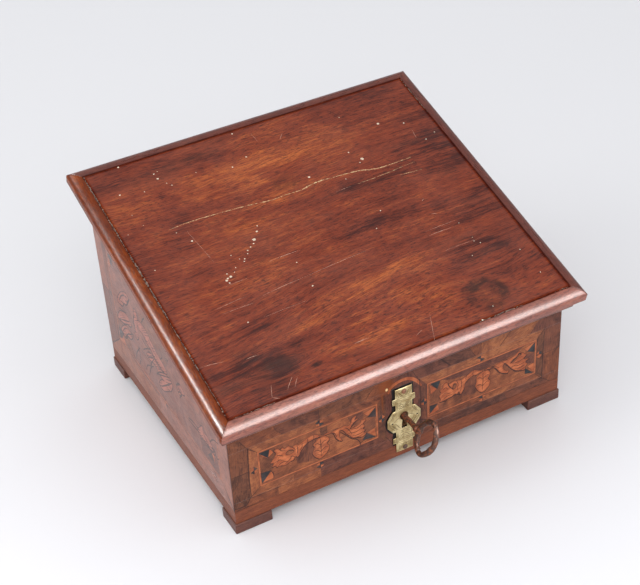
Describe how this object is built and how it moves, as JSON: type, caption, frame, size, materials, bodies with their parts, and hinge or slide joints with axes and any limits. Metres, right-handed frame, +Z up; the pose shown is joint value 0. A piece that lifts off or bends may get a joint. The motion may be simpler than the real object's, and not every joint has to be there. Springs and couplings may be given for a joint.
{
  "type": "writing_box",
  "caption": "Slope-top writing box in walnut with inlaid scroll panels, a moulded lid hinged at the back, an engraved brass lock plate and an oval-bowed key",
  "frame": {"origin": "on the floor under the middle of the whole object, key included", "axes": "+X to the right of someone facing the lock, +Y to the hinged back, +Z up"},
  "size_m": [0.4296, 0.4066, 0.2596],
  "materials": {
    "walnut": "satin",
    "carcase_wood": "matte",
    "dark_walnut": "satin",
    "lid_wood": "satin",
    "brass": "satin",
    "iron": "matte"
  },
  "bodies": {
    "box": {"bottom_board": "walnut", "front_board": "carcase_wood", "back_board": "walnut", "left_side_board": "carcase_wood", "right_side_board": "carcase_wood", "front_veneer": "walnut", "left_veneer": "walnut", "right_veneer": "walnut", "front_cornice": "walnut", "left_cornice": "walnut", "right_cornice": "walnut", "foot_front_left": "dark_walnut", "foot_front_right": "dark_walnut", "foot_back_left": "dark_walnut", "foot_back_right": "dark_walnut", "hinge_left_body_leaf": "iron", "hinge_left_pin": "iron", "hinge_right_body_leaf": "iron", "hinge_right_pin": "iron", "escutcheon": "brass", "escutcheon_nail_upper": "iron", "escutcheon_nail_lower": "iron", "lock_case": "iron", "key": "iron"},
    "lid": {"lid_board": "lid_wood", "lid_moulding_front": "lid_wood", "lid_moulding_right": "lid_wood", "lid_moulding_back": "lid_wood", "lid_moulding_left": "lid_wood", "lid_staple": "iron", "hinge_left_lid_leaf": "iron", "hinge_right_lid_leaf": "iron"}
  },
  "joints": [
    {"name": "lid_hinge", "type": "hinge", "parent": "box", "child": "lid", "pos_m": [0, 0.1854, 0.24081], "axis": [-1, 0, 0], "range_deg": [0, 110]}
  ]
}
